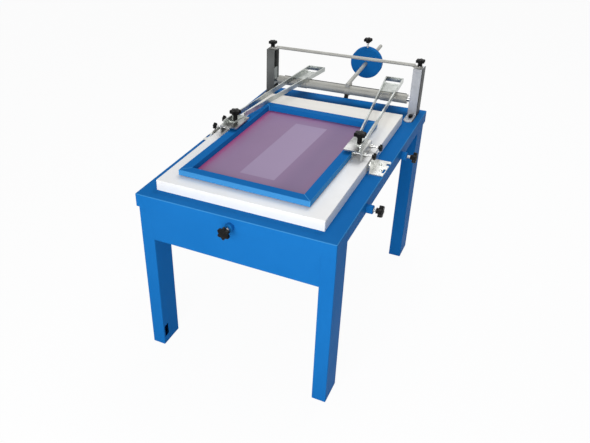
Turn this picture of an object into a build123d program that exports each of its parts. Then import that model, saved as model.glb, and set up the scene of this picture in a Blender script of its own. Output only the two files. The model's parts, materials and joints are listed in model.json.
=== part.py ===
from build123d import *
import math
import os

# A free-standing screen printing table: a blue sheet-steel table on four tube legs, a white print
# board moved by three registration screws, and a screen held by two arms on a counterweighted shaft.
# Millimetres. While modelling, X = 0 is the middle of the table, Y = 0 its front edge, Z = 0 the floor.

# ---- Table -----------------------------------------------------------------------------------
TABLE_WIDTH = 760.0
TABLE_DEPTH = 1170.0
TABLE_HEIGHT = 712.0
SHEET = 3.0                 # folded top
LIP = 51.0                  # depth of the folded edge
PLAN_RADIUS = 4.0

LEG_ACROSS = 54.0           # leg tube along X
LEG_ALONG = 109.0           # leg tube along Y
LEG_WALL = 2.5
LEG_RADIUS = 3.0
LEG_FRONT = 12.0            # front legs stand this far behind the lip
LEG_REAR_GAP = 19.0         # rear legs stand this far in front of the rear edge
LEG_PLATE = 6.0
BASE_PLATE = 5.0
PLATE_REACH = 24.0          # the top plate runs this far past the tube, inwards
WINDOW = (30.0, 56.0)       # access window in each leg, along Y and Z
WINDOW_Z = 60.0
WINDOW_FROM_EDGE = 24.0

APRON_SHEET = 2.0
APRON_BOTTOM = 522.0
APRON_FLANGE = 28.0

# ---- Print board and its slides under the table ------------------------------------------------
BOARD_X = (-323.0, 317.0)
BOARD_Y = (57.0, 988.0)
BOARD_TOP = 752.0
BOARD_LIFT = 0.3            # the board glides just above the table
PLATE = 5.0                 # thickness of the slide plates
Y_PLATE_Z = 689.0
X_PLATE_Z = 695.0
TURN_PLATE_Z = 701.0
POSTS = [(-140.0, 330.0), (140.0, 330.0), (-140.0, 770.0), (140.0, 770.0)]
POST_R = 12.0
POST_HOLE_R = 25.0
STUDS = [(-60.0, 330.0), (60.0, 330.0), (-60.0, 760.0), (60.0, 760.0)]
STUD_R = 5.0
STUD_HEAD_R = 10.0
TURN_PIN = (200.0, 318.0)   # the board turns about this pin
TURN_PIN_R = 10.0
FIT = 0.05                  # radial running fit

# ---- Registration screws -------------------------------------------------------------------------
SCREW_R = 6.0
TIP_R = 4.0
FRONT_SCREW = (5.0, 678.0)  # X, Z
NEAR_SCREW_Y = 315.0
FAR_SCREW_Y = 768.0
SIDE_SCREW_Z = 674.0
BOSS_R = 16.0
SIDE_BOSS = 22.0
FRONT_BOSS = 18.0
CARRIER_X = 318.0           # outer face of the slide plates' right flanges
FLANGE_BOTTOM = 658.0
SHOE_HEAD_R = 10.0
SHOE_HEAD = 5.6
SHOE_NECK = 12.0

# ---- Uprights, height screws and shaft -----------------------------------------------------------
UPRIGHT_X = (314.0, 354.0)
UPRIGHT_DEPTH = 55.0
UPRIGHT_WALL = 3.0
UPRIGHT_TOP = 920.0
FOOT_SHEET = 4.0
FOOT_FRONT = 1008.0
FOOT_SLOT = (1044.0, 1086.0)
AXIS_Y = 1116.0             # shaft and height screws stand on this line
AXIS_Z = 773.0
HEIGHT_X = 334.0
LEFT_OUT = 12.0             # the left upright stands this much further out than the right one
TUBE_R = 20.0
TUBE_WALL = 3.0
TUBE_HALF = 300.0
JOURNAL_R = 10.0
BLOCK_Z = (748.0, 830.0)
TIE_R = 7.0
TIE_HALF = 314.0
GUIDE_BAR = 8.0
GUIDE_HALF = 290.0
GUIDE_ANGLE = 62.0          # from the vertical, towards the rear

# ---- Counterweight -------------------------------------------------------------------------------
ROD_R = 8.5
ROD_X = 29.0
ROD_START = 1098.0
ROD_END = 1612.0
ROD_Z_AT_AXIS = 802.5
ROD_RISE = 3.5              # degrees
DISC_R = 75.0
DISC_THICK = 28.0
DISC_Y = 1384.0

# ---- Arms and screen clamps ----------------------------------------------------------------------
BAR_THICK = 5.0
BAR_Z = (793.0, 813.0)
ARM_REAR_Y = 1253.0
RIGHT_REAR_X = (164.0, 241.0)  # inner and outer bar
LEFT_REAR_X = (136.0, 213.0)   # the left arm's rear end is drawn further in
OUTER_FRONT = (282.5, 500.0)
INNER_FRONT = (243.5, 610.0)
RIGHT_SADDLE_X = (184.0, 226.0)
LEFT_SADDLE_X = (168.0, 210.0)
SADDLE_Y = (1097.0, 1152.0)
SADDLE_PLATE_Y = (1108.0, 1215.0)
STRAP = 2.0                 # the saddle's strap under the tube
HUB_WALL = 3.0
CLAMP_HUB = 26.0            # the clamp knob's sleeve
BRACKET_X = (222.0, 295.0)
BRACKET_Y = (492.0, 612.0)
BRACKET_SHEET = 5.0
BRACKET_DROP = 36.0
CLAMP_STUD = (261.0, 562.0)
SIDE_SCREWS_Y = (520.0, 600.0)
SIDE_SCREW_HEIGHT = 772.0
SIDE_SCREW_R = 4.0
BUSH_R = 8.0
BUSH = 8.0
PAD = (5.0, 112.0, 20.0)    # across, along, high
PAD_Y = 560.0
PAD_GAP = 0.3

# ---- Screen --------------------------------------------------------------------------------------
SCREEN_W = 508.0            # a 20 x 28 inch frame
SCREEN_L = 711.0
RAIL_W = 36.0
RAIL_WALL = 2.0
SCREEN_TOP = 777.0
MESH_Z = 754.0
MESH_THICK = 0.8
SCREEN_CENTRE = (-4.0, 470.0)
SCREEN_TURN = -1.0          # degrees about Z, as the screen was clamped

# ---- Side brackets on the table ------------------------------------------------------------------
STOP_X = (325.0, 378.0)
LEFT_STOP_IN = 331.0        # the left bracket stands clear of the board by this
STOP_Y = (488.0, 612.0)
STOP_SHEET = 4.0
STOP_TOP = 757.0
STOP_HOLES = [(346.0, 574.0), (360.0, 528.0)]

# The part's origin is the middle of its box, on the floor.
KNOB_THICK = 16.0
KNOB_R = 23.5
FAR_KNOB_FACE = 441.0
NEAR_KNOB_FACE = 438.0
FRONT_KNOB_FACE = -58.0
ROD_TILT = math.radians(ROD_RISE)
REAR_EXTENT = ROD_END + ROD_R * math.sin(ROD_TILT)
ORIGIN_X = (FAR_KNOB_FACE - TABLE_WIDTH / 2) / 2
ORIGIN_Y = (REAR_EXTENT + FRONT_KNOB_FACE) / 2

os.makedirs("parts", exist_ok=True)


def save(node, *solids):
    """Write one named piece, or a group of like pieces, in the part's own frame."""
    moved = [Pos(-ORIGIN_X, -ORIGIN_Y, 0) * solid for solid in solids]
    shape = moved[0] if len(moved) == 1 else Compound(children=moved)
    export_step(shape, f"parts/{node}.step")


def mirrored(shape):
    """The same piece on the left side of the table."""
    return mirror(shape, about=Plane.YZ)


def left_frame(shape):
    """The same piece of the upright frame on the left side, which stands a little further out."""
    return Pos(-LEFT_OUT, 0, 0) * mirrored(shape)


def slab(sketch, z, thickness):
    """A flat outline raised from height z."""
    return Pos(0, 0, z) * extrude(sketch, thickness)


def rectangle(x0, x1, y0, y1, radius=0.0):
    """A plan rectangle between two corners, with rounded corners where a radius is given."""
    size = (x1 - x0, y1 - y0)
    shape = RectangleRounded(*size, radius) if radius else Rectangle(*size)
    return Pos((x0 + x1) / 2, (y0 + y1) / 2) * shape


def block(x, y, z):
    """A rectangular stock piece, each argument a (low, high) pair."""
    return slab(rectangle(*x, *y), z[0], z[1] - z[0])


def rod_x(x0, x1, y, z, radius):
    """A round bar along X."""
    return Plane((x0, y, z), z_dir=(1, 0, 0)).location * extrude(Circle(radius), x1 - x0)


def rod_y(y0, y1, x, z, radius):
    """A round bar along Y."""
    return Plane((x, y0, z), z_dir=(0, 1, 0)).location * extrude(Circle(radius), y1 - y0)


def rod_z(z0, z1, x, y, radius):
    """A round bar along Z."""
    return Pos(x, y, z0) * extrude(Circle(radius), z1 - z0)


def hex_bolt(x, y, z, shank_r, shank, across, head):
    """A hexagon bolt with its washer, head up, the washer resting on height z."""
    washer = rod_z(z, z + 1.6, x, y, across * 0.58)
    top = Pos(x, y, z + 1.6) * extrude(RegularPolygon(across / 2, 6, major_radius=False), head)
    return washer + top + rod_z(z - shank, z, x, y, shank_r)


def star_sketch(radius, lobes=6):
    """A star knob's outline: a round lobe and a hollow for each finger, as arcs."""
    valley = radius * 0.74
    flank = radius * 0.86
    half = math.pi / lobes

    def at(r, angle):
        return (r * math.cos(angle), r * math.sin(angle))

    arcs = []
    for lobe in range(lobes):
        middle = 2 * half * lobe
        arcs.append(ThreePointArc(at(flank, middle - half / 2), at(radius, middle), at(flank, middle + half / 2)))
        arcs.append(ThreePointArc(at(flank, middle + half / 2), at(valley, middle + half),
                                  at(flank, middle + 1.5 * half)))
    return make_face(Curve() + arcs)


def star_knob(radius, thick, hub_r, hub):
    """A moulded star knob along +Z: a turned hub from 0, then the star, its rim chamfered."""
    star = Pos(0, 0, hub) * extrude(star_sketch(radius), thick)
    rims = star.edges().group_by(Axis.Z)
    star = chamfer(rims[0] + rims[-1], 1.8)
    return star + extrude(Circle(hub_r), hub)


def facing(shape, origin, direction):
    """Turn a piece made along +Z to point along a direction from an origin."""
    return Plane(origin, z_dir=direction).location * shape


# ---- Table top, aprons and legs --------------------------------------------------------------------
UNDERSIDE = TABLE_HEIGHT - SHEET
HALF_W = TABLE_WIDTH / 2
LEG_OUT = HALF_W - SHEET
LEG_IN = LEG_OUT - LEG_ACROSS
REAR_LEG_END = TABLE_DEPTH - LEG_REAR_GAP
UPRIGHT_Y = (AXIS_Y - UPRIGHT_DEPTH / 2, AXIS_Y + UPRIGHT_DEPTH / 2)
FOOT_BOLTS = [(HEIGHT_X, 1066.0), (HEIGHT_X - 1.5, 1127.0)]
FOOT_BOLT_R = 5.0
CLEARANCE = 0.2


def table_top():
    shell = slab(rectangle(-HALF_W, HALF_W, 0, TABLE_DEPTH, PLAN_RADIUS), TABLE_HEIGHT - LIP, LIP)
    shell = fillet(shell.faces().sort_by(Axis.Z)[-1].edges(), SHEET)
    inside = rectangle(-LEG_OUT, LEG_OUT, SHEET, TABLE_DEPTH - SHEET, PLAN_RADIUS - SHEET)
    shell -= slab(inside, TABLE_HEIGHT - LIP, LIP - SHEET)
    for x, y in POSTS:
        shell -= rod_z(UNDERSIDE, TABLE_HEIGHT, x, y, POST_HOLE_R)
    for side in (-1, 1):
        for x, y in FOOT_BOLTS:
            x += LEFT_OUT if side < 0 else 0
            shell -= rod_z(UNDERSIDE, TABLE_HEIGHT, side * x, y, FOOT_BOLT_R + CLEARANCE)
        for x, y in STOP_HOLES:
            shell -= rod_z(UNDERSIDE, TABLE_HEIGHT, side * x, y, 3.0 + CLEARANCE)
    shell -= rod_y(0, SHEET, *FRONT_SCREW, SCREW_R + FIT)
    for y in (NEAR_SCREW_Y, FAR_SCREW_Y):
        shell -= rod_x(LEG_OUT, HALF_W, y, SIDE_SCREW_Z, SCREW_R + FIT)
    return shell


def leg(front_y, window_y, inwards, bolts):
    """A right-hand leg tube with its base plate, its bolting plate under the top, and its window."""
    tube = rectangle(LEG_IN, LEG_OUT, front_y, front_y + LEG_ALONG, LEG_RADIUS)
    bore = rectangle(LEG_IN + LEG_WALL, LEG_OUT - LEG_WALL, front_y + LEG_WALL,
                     front_y + LEG_ALONG - LEG_WALL, LEG_RADIUS - LEG_WALL)
    shape = slab(tube, 0, UNDERSIDE - LEG_PLATE) - slab(bore, BASE_PLATE, UNDERSIDE)
    reach = (front_y, front_y + LEG_ALONG + PLATE_REACH) if inwards > 0 else (
        front_y - PLATE_REACH, front_y + LEG_ALONG)
    shape += slab(rectangle(LEG_IN - PLATE_REACH, LEG_OUT, *reach, LEG_RADIUS), UNDERSIDE - LEG_PLATE, LEG_PLATE)
    wall = Plane((LEG_IN - LEG_WALL, window_y, WINDOW_Z), x_dir=(0, 1, 0), z_dir=(1, 0, 0))
    shape -= wall.location * extrude(RectangleRounded(*WINDOW, 4), 3 * LEG_WALL)
    for x, y in bolts:
        shape -= rod_z(UNDERSIDE - LEG_PLATE, UNDERSIDE, x, y, FOOT_BOLT_R + CLEARANCE)
    return shape


def apron(web_y, inwards):
    """A folded panel between two legs: a web with a flange at its top and bottom edges."""
    w, f = APRON_SHEET * inwards, APRON_FLANGE * inwards
    low, high = APRON_BOTTOM, UNDERSIDE
    outline = Polyline((0, low), (f, low), (f, low + APRON_SHEET), (w, low + APRON_SHEET),
                       (w, high - APRON_SHEET), (f, high - APRON_SHEET), (f, high), (0, high), close=True)
    section = Plane((-LEG_IN, web_y, 0), x_dir=(0, 1, 0), z_dir=(1, 0, 0)).location * make_face(outline)
    panel = extrude(section, 2 * LEG_IN, dir=(1, 0, 0))
    for side in (-1, 1):
        notch_x = sorted((side * LEG_IN, side * (LEG_IN - PLATE_REACH - CLEARANCE)))
        panel -= block(notch_x, sorted((web_y, web_y + f)), (UNDERSIDE - LEG_PLATE - CLEARANCE, UNDERSIDE))
    return panel


front_leg_y = LEG_FRONT
rear_leg_y = REAR_LEG_END - LEG_ALONG
front_leg = leg(front_leg_y, front_leg_y + WINDOW_FROM_EDGE, 1, [])
rear_leg = leg(rear_leg_y, REAR_LEG_END - WINDOW_FROM_EDGE, -1, FOOT_BOLTS)
left_bolt_holes = [(x + LEFT_OUT, y) for x, y in FOOT_BOLTS]
rear_left_leg = leg(rear_leg_y, REAR_LEG_END - WINDOW_FROM_EDGE, -1, left_bolt_holes)
save("table_top", table_top())
save("leg_front_right", front_leg)
save("leg_front_left", mirrored(front_leg))
save("leg_rear_right", rear_leg)
save("leg_rear_left", mirrored(rear_left_leg))
save("front_apron", apron(LEG_FRONT, 1) - rod_y(LEG_FRONT, LEG_FRONT + APRON_SHEET, *FRONT_SCREW, BOSS_R / 1.6))
save("rear_apron", apron(REAR_LEG_END, -1))

# ---- Print board and the plates that carry it -------------------------------------------------------
STUD_TRAVEL = 30.0


def slot_y(x, y, z, length, width, thick):
    return Pos(x, y, z) * extrude(Rot(0, 0, 90) * SlotOverall(length, width), thick)


def slot_x(x, y, z, length, width, thick):
    return Pos(x, y, z) * extrude(SlotOverall(length, width), thick)


def carrier_flange(y0, y1, top, slot_at):
    """The folded-down right edge of a slide plate, with the slot that a thrust shoe runs in."""
    wall = block((CARRIER_X - PLATE, CARRIER_X), (y0, y1), (FLANGE_BOTTOM, top))
    cut = Plane((CARRIER_X - PLATE, slot_at, SIDE_SCREW_Z), x_dir=(0, 1, 0), z_dir=(1, 0, 0)).location * extrude(
        SlotOverall(STUD_TRAVEL + SHOE_NECK, SHOE_NECK + 0.6), PLATE)
    return wall - cut


def y_carriage():
    """The lower plate: it slides along Y on four studs and carries the front screw's flange."""
    plan = rectangle(-100, 100, 290, 800, 12) + rectangle(-20, 30, 56, 320)
    plan -= rectangle(-70, 70, 400, 690, 20)
    plate = slab(plan, Y_PLATE_Z, PLATE) + block((-20, 30), (56, 61), (FLANGE_BOTTOM - 2, Y_PLATE_Z + PLATE))
    for x, y in STUDS:
        plate -= slot_y(x, y, Y_PLATE_Z, STUD_TRAVEL, 2 * STUD_R + 0.4, PLATE)
    for y in (375.0, 720.0):
        plate -= slot_x(0, y, Y_PLATE_Z, 24, 10.2, PLATE)
    return plate - rod_y(56, 61, *FRONT_SCREW, TIP_R + FIT)


def x_carriage():
    """The middle plate: it slides along X on the lower one and carries the pin that the board turns on."""
    plan = rectangle(-100, 100, 290, 800, 12) + rectangle(80, CARRIER_X, 288, 348)
    plan -= rectangle(-70, 70, 400, 690, 20)
    plate = slab(plan, X_PLATE_Z, PLATE) + carrier_flange(288, 348, X_PLATE_Z + PLATE, NEAR_SCREW_Y)
    plate += rod_z(X_PLATE_Z, TURN_PLATE_Z + PLATE + 1.5, *TURN_PIN, TURN_PIN_R)
    for x, y in STUDS:
        plate -= slot_y(x, y, X_PLATE_Z, STUD_TRAVEL + 6, 24, PLATE)
    for y in (375.0, 720.0):
        plate += rod_z(Y_PLATE_Z, X_PLATE_Z, 0, y, 5.0)
    return plate


def board_plate():
    """The upper plate, bolted to the board through the table: it turns a little about the pin."""
    plan = rectangle(-165, 165, 290, 810, 12) + rectangle(150, 230, 290, 346) + rectangle(150, CARRIER_X, 735, 800)
    plan -= rectangle(-90, 90, 400, 690, 20)
    plate = slab(plan, TURN_PLATE_Z, PLATE) + carrier_flange(735, 800, TURN_PLATE_Z + PLATE, FAR_SCREW_Y)
    for x, y in STUDS:
        plate -= slot_y(x, y, TURN_PLATE_Z, STUD_TRAVEL + 12, 30, PLATE)
    return plate - rod_z(TURN_PLATE_Z, TURN_PLATE_Z + PLATE, *TURN_PIN, TURN_PIN_R + FIT)


def print_board():
    bottom = TABLE_HEIGHT + BOARD_LIFT
    board = slab(rectangle(*BOARD_X, *BOARD_Y, 3), bottom, BOARD_TOP - bottom)
    return chamfer(board.faces().sort_by(Axis.Z)[-1].edges(), 1.2)


def guide_stud(x, y):
    """A stud that hangs from the table top and holds the slide plates up by its head."""
    head_top = Y_PLATE_Z - 0.3
    return rod_z(head_top, UNDERSIDE, x, y, STUD_R) + rod_z(head_top - 4, head_top, x, y, STUD_HEAD_R)


def post(x, y):
    low = TURN_PLATE_Z + PLATE
    return rod_z(low, TABLE_HEIGHT + BOARD_LIFT, x, y, POST_R)


save("y_carriage", y_carriage())
save("x_carriage", x_carriage())
save("board_plate", board_plate())
save("print_board", print_board())
save("guide_studs", *[guide_stud(x, y) for x, y in STUDS])
save("board_posts", *[post(x, y) for x, y in POSTS])

# ---- Registration screws, their bosses and thrust shoes ----------------------------------------------
HUB_R = 11.0
HUB = 10.0
COLLAR = 3.6
GAP = 0.2


def boss(origin, direction, length):
    """A turned boss welded to the lip, bored for the screw."""
    body = extrude(Circle(BOSS_R), length)
    body = chamfer(body.edges().group_by(Axis.Z)[-1], 1.5)
    return facing(body - extrude(Circle(SCREW_R + FIT), length), origin, direction)


def registration_screw(knob_face, shoulder, tip_end):
    """A screw along +Z from its captured tip to the outer face of its star knob; sizes are distances."""
    hub_start = knob_face - KNOB_THICK - HUB
    screw = Pos(0, 0, hub_start) * star_knob(KNOB_R, KNOB_THICK, HUB_R, HUB)
    screw += rod_z(shoulder, hub_start, 0, 0, SCREW_R)
    screw += rod_z(tip_end, shoulder, 0, 0, TIP_R)
    return screw + rod_z(tip_end - COLLAR, tip_end, 0, 0, TIP_R + 3)


def thrust_shoe(slack):
    """A spool along +Z: its neck runs in a flange's slot, its bore holds the screw's tip."""
    neck = PLATE + 2 * slack
    spool = Pos(0, 0, -neck / 2 - SHOE_HEAD) * extrude(Circle(SHOE_HEAD_R), SHOE_HEAD)
    spool += Pos(0, 0, neck / 2) * extrude(Circle(SHOE_HEAD_R), SHOE_HEAD)
    spool += Pos(0, 0, -neck / 2) * extrude(RectangleRounded(SHOE_NECK, SHOE_NECK, 2), neck)
    length = neck + 2 * SHOE_HEAD
    return spool - Pos(0, 0, -length / 2) * extrude(Circle(TIP_R + FIT), length)


NEAR_SLACK = 0.3
FAR_SLACK = 3.4             # room for the board's turn at the far shoe
FLANGE_MIDDLE = CARRIER_X - PLATE / 2


def side_screw(y, knob_face, slack):
    shoe_end = PLATE / 2 + slack + SHOE_HEAD
    outer = FLANGE_MIDDLE + shoe_end + GAP
    inner = FLANGE_MIDDLE - shoe_end - GAP
    screw = registration_screw(knob_face, outer, inner)
    return facing(screw, (0, y, SIDE_SCREW_Z), (1, 0, 0))


def front_screw():
    shoulder, tip_end = -(56 - GAP), -(61 + GAP)
    screw = registration_screw(-FRONT_KNOB_FACE, shoulder, tip_end)
    return facing(screw, (FRONT_SCREW[0], 0, FRONT_SCREW[1]), (0, -1, 0))


save("screw_bosses",
     boss((HALF_W, NEAR_SCREW_Y, SIDE_SCREW_Z), (1, 0, 0), SIDE_BOSS),
     boss((HALF_W, FAR_SCREW_Y, SIDE_SCREW_Z), (1, 0, 0), SIDE_BOSS),
     boss((FRONT_SCREW[0], 0, FRONT_SCREW[1]), (0, -1, 0), FRONT_BOSS))
save("front_screw", front_screw())
save("near_screw", side_screw(NEAR_SCREW_Y, NEAR_KNOB_FACE, NEAR_SLACK))
save("far_screw", side_screw(FAR_SCREW_Y, FAR_KNOB_FACE, FAR_SLACK))
save("near_shoe", facing(thrust_shoe(NEAR_SLACK), (FLANGE_MIDDLE, NEAR_SCREW_Y, SIDE_SCREW_Z), (1, 0, 0)))
save("far_shoe", facing(thrust_shoe(FAR_SLACK), (FLANGE_MIDDLE, FAR_SCREW_Y, SIDE_SCREW_Z), (1, 0, 0)))

# ---- Side brackets ---------------------------------------------------------------------------------


def side_bracket(low):
    """A folded angle beside the board: its foot is screwed to the table, its upright edge steadies the arm."""
    high = STOP_X[1]
    bend = STOP_SHEET + 1.5
    outline = Polyline((low, TABLE_HEIGHT), (high, TABLE_HEIGHT), (high, TABLE_HEIGHT + STOP_SHEET),
                       (low + STOP_SHEET, TABLE_HEIGHT + STOP_SHEET), (low + STOP_SHEET, STOP_TOP),
                       (low, STOP_TOP), close=True)
    section = Plane((0, STOP_Y[1], 0), x_dir=(1, 0, 0), z_dir=(0, -1, 0)).location * make_face(outline)
    angle = extrude(section, STOP_Y[1] - STOP_Y[0], dir=(0, -1, 0))
    corner = angle.edges().filter_by(Axis.Y).sort_by_distance((low, STOP_Y[0], TABLE_HEIGHT))[0]
    angle = fillet(corner, bend - 2)
    ends = angle.edges().filter_by(Axis.Z).group_by(Axis.X)[-1]
    angle = fillet(ends, 6)
    tops = angle.edges().filter_by(Axis.X).group_by(Axis.Z)[-1]
    angle = fillet(tops, 10)
    for x, y in STOP_HOLES:
        angle -= rod_z(TABLE_HEIGHT, TABLE_HEIGHT + STOP_SHEET, x, y, 3.0 + CLEARANCE)
    angle -= slot_y(372.0, 528.0, TABLE_HEIGHT, 34, 9, STOP_SHEET)
    return angle - slab(rectangle(366, high, 576, 592), TABLE_HEIGHT, STOP_SHEET)


bracket_bolts = [hex_bolt(x, y, TABLE_HEIGHT + STOP_SHEET, 3.0, 12, 10, 4) for x, y in STOP_HOLES]
save("right_side_bracket", side_bracket(STOP_X[0]))
save("left_side_bracket", mirrored(side_bracket(LEFT_STOP_IN)))
save("bracket_bolts", *bracket_bolts, *[mirrored(bolt) for bolt in bracket_bolts])

# ---- Uprights --------------------------------------------------------------------------------------


def upright():
    """A right-hand upright: a channel open towards the shaft, on a foot with a slot, closed by a top plate."""
    x0, x1 = UPRIGHT_X
    y0, y1 = UPRIGHT_Y
    channel = rectangle(x0, x1, y0, y1) - rectangle(x0, x1 - UPRIGHT_WALL, y0 + UPRIGHT_WALL, y1 - UPRIGHT_WALL)
    foot_top = TABLE_HEIGHT + FOOT_SHEET
    shape = slab(channel, foot_top, UPRIGHT_TOP - UPRIGHT_WALL - foot_top)
    outer_edges = shape.edges().filter_by(Axis.Z).group_by(Axis.X)[-1]
    shape = fillet(outer_edges, 3)
    half = (x1 - x0) / 2
    foot = rectangle(x0, x1, FOOT_FRONT + half, y1) + Pos(x0 + half, FOOT_FRONT + half) * Circle(half)
    foot -= Pos(HEIGHT_X, sum(FOOT_SLOT) / 2) * Rot(0, 0, 90) * SlotOverall(FOOT_SLOT[1] - FOOT_SLOT[0], 11)
    shape += slab(foot, TABLE_HEIGHT, FOOT_SHEET)
    shape += slab(rectangle(x0, x1, y0, y1, 2), UPRIGHT_TOP - UPRIGHT_WALL, UPRIGHT_WALL)
    shape -= rod_z(UPRIGHT_TOP - UPRIGHT_WALL, UPRIGHT_TOP, HEIGHT_X, AXIS_Y, SCREW_R + FIT)
    x, y = FOOT_BOLTS[1]
    return shape - rod_z(TABLE_HEIGHT, foot_top, x, y, FOOT_BOLT_R + CLEARANCE)


def tie_rod():
    """The round rod between the uprights, its flattened ends bored for the height screws."""
    rod = rod_x(-TIE_HALF - LEFT_OUT, TIE_HALF, AXIS_Y, UPRIGHT_TOP + TIE_R, TIE_R)
    eye = slot_x(HEIGHT_X - 8, AXIS_Y, UPRIGHT_TOP, 44, 24, 5)
    eye -= rod_z(UPRIGHT_TOP, UPRIGHT_TOP + 5, HEIGHT_X, AXIS_Y, SCREW_R + 0.4)
    return rod + eye + left_frame(eye)


def bearing_block():
    """The block that slides in an upright: it is bored for the shaft's journal and for the height screw."""
    x = (UPRIGHT_X[0] + 3, UPRIGHT_X[1] - UPRIGHT_WALL - 0.6)
    y = (UPRIGHT_Y[0] + UPRIGHT_WALL + 0.4, UPRIGHT_Y[1] - UPRIGHT_WALL - 0.4)
    body = block(x, y, BLOCK_Z)
    body = chamfer(body.edges().filter_by(Axis.Y), 2)
    body -= rod_x(x[0], x[1], AXIS_Y, AXIS_Z, JOURNAL_R + FIT)
    return body - rod_z(804, BLOCK_Z[1], HEIGHT_X, AXIS_Y, SCREW_R + FIT)


def height_screw():
    """A height screw: its foot turns in the bearing block, its star knob stands above the upright."""
    knob = Pos(HEIGHT_X, AXIS_Y, UPRIGHT_TOP + 8) * star_knob(20, 14, 10, 14)
    return knob + rod_z(804.3, UPRIGHT_TOP + 8, HEIGHT_X, AXIS_Y, SCREW_R)


foot_bolts = [hex_bolt(FOOT_BOLTS[0][0], FOOT_BOLTS[0][1], TABLE_HEIGHT + FOOT_SHEET, FOOT_BOLT_R, 22, 16, 7),
              hex_bolt(*FOOT_BOLTS[1], TABLE_HEIGHT + FOOT_SHEET, FOOT_BOLT_R, 22, 16, 7)]
save("right_upright", upright())
save("left_upright", left_frame(upright()))
save("upright_bolts", *foot_bolts, *[left_frame(bolt) for bolt in foot_bolts])
save("tie_rod", tie_rod())
save("right_bearing_block", bearing_block())
save("left_bearing_block", left_frame(bearing_block()))
save("right_height_screw", height_screw())
save("left_height_screw", left_frame(height_screw()))

# ---- Shaft and counterweight -------------------------------------------------------------------------
ROD_DIRECTION = (0, math.cos(ROD_TILT), math.sin(ROD_TILT))
ROD_NORMAL = (0, -math.sin(ROD_TILT), math.cos(ROD_TILT))
HUB_X = (ROD_X - 11, ROD_X + 11)
HUB_SCREW_ANGLE = math.radians(56)
LOCK_STUD = 98.0            # rod's centre to the outer face of the lock's star knob


def rod_point(y):
    """The point of the counterweight rod's axis at a given Y."""
    return (ROD_X, y, ROD_Z_AT_AXIS + (y - AXIS_Y) * math.tan(ROD_TILT))


def along_rod(y0, y1, radius):
    length = (y1 - y0) / math.cos(ROD_TILT)
    return facing(extrude(Circle(radius), length), rod_point(y0), ROD_DIRECTION)


def shaft_tube():
    ends = (-TUBE_HALF - LEFT_OUT, TUBE_HALF)
    return rod_x(*ends, AXIS_Y, AXIS_Z, TUBE_R) - rod_x(*ends, AXIS_Y, AXIS_Z, TUBE_R - TUBE_WALL)


def journal():
    """A turned plug in the tube's end, with the journal that runs in the bearing block."""
    plug = rod_x(TUBE_HALF - 18, TUBE_HALF, AXIS_Y, AXIS_Z, TUBE_R - TUBE_WALL)
    return plug + rod_x(TUBE_HALF, 348, AXIS_Y, AXIS_Z, JOURNAL_R)


def guide_bar(half=GUIDE_HALF, size=GUIDE_BAR):
    """The square bar along the tube's top rear edge, or the notch for it where a size is given."""
    angle = math.radians(GUIDE_ANGLE)
    reach = TUBE_R + GUIDE_BAR / 2 - 0.6
    centre = (-half, AXIS_Y + reach * math.sin(angle), AXIS_Z + reach * math.cos(angle))
    section = Plane(centre, x_dir=(0, math.sin(angle), math.cos(angle)), z_dir=(1, 0, 0))
    bar = section.location * extrude(Rectangle(size, size), 2 * half)
    return bar - rod_x(-half, half, AXIS_Y, AXIS_Z, TUBE_R)


def rod_hub():
    """The clamp that holds the counterweight rod: a ring round the tube with a cradle on top."""
    width = HUB_X[1] - HUB_X[0]
    ring = rod_x(HUB_X[0], HUB_X[1], AXIS_Y, AXIS_Z, TUBE_R + HUB_WALL)
    top = block(HUB_X, (AXIS_Y - 15, AXIS_Y + 22), (AXIS_Z + 8, ROD_Z_AT_AXIS))
    hub = ring + top - rod_x(HUB_X[0], HUB_X[1], AXIS_Y, AXIS_Z, TUBE_R + FIT)
    hub -= guide_bar(width * 3, GUIDE_BAR + 2 * FIT)
    return hub - along_rod(ROD_START - 10, ROD_END, ROD_R + FIT)


def hub_screw():
    """The socket screw that locks the hub to the tube, under its front."""
    out = (0, -math.cos(HUB_SCREW_ANGLE), -math.sin(HUB_SCREW_ANGLE))
    start = TUBE_R + HUB_WALL
    origin = (ROD_X, AXIS_Y + out[1] * start, AXIS_Z + out[2] * start)
    head = extrude(Circle(9.5), 14) - Pos(0, 0, 7) * extrude(RegularPolygon(4, 6), 7)
    return facing(head, origin, out)


def weight_disc():
    disc = extrude(Circle(DISC_R), DISC_THICK / 2, both=True)
    disc = chamfer(disc.edges(), 2)
    disc -= extrude(Circle(ROD_R + FIT), DISC_THICK, both=True)
    disc = Plane(rod_point(DISC_Y), x_dir=(1, 0, 0), z_dir=ROD_DIRECTION).location * disc
    return disc - facing(extrude(Circle(5 + FIT), DISC_R + 5), rod_point(DISC_Y), ROD_NORMAL)


def lock_screw():
    """The star knob on its thin stud that locks the disc to the rod."""
    knob = Pos(0, 0, LOCK_STUD) * star_knob(20.5, 14, 9, 8)
    stud = Pos(0, 0, ROD_R + 0.4) * extrude(Circle(5), LOCK_STUD - ROD_R - 0.4)
    return facing(knob + stud, rod_point(DISC_Y), ROD_NORMAL)


save("shaft_tube", shaft_tube())
save("shaft_journals", journal(), left_frame(journal()))
save("guide_bar", guide_bar())
save("rod_hub", rod_hub())
save("hub_screw", hub_screw())
save("weight_rod", along_rod(ROD_START, ROD_END, ROD_R))
save("weight_disc", weight_disc())
save("weight_lock_screw", lock_screw())

# ---- Arms and screen clamps --------------------------------------------------------------------------
BAR_LOW, BAR_HIGH = BAR_Z
ARM_PLATE = 4.0


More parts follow.
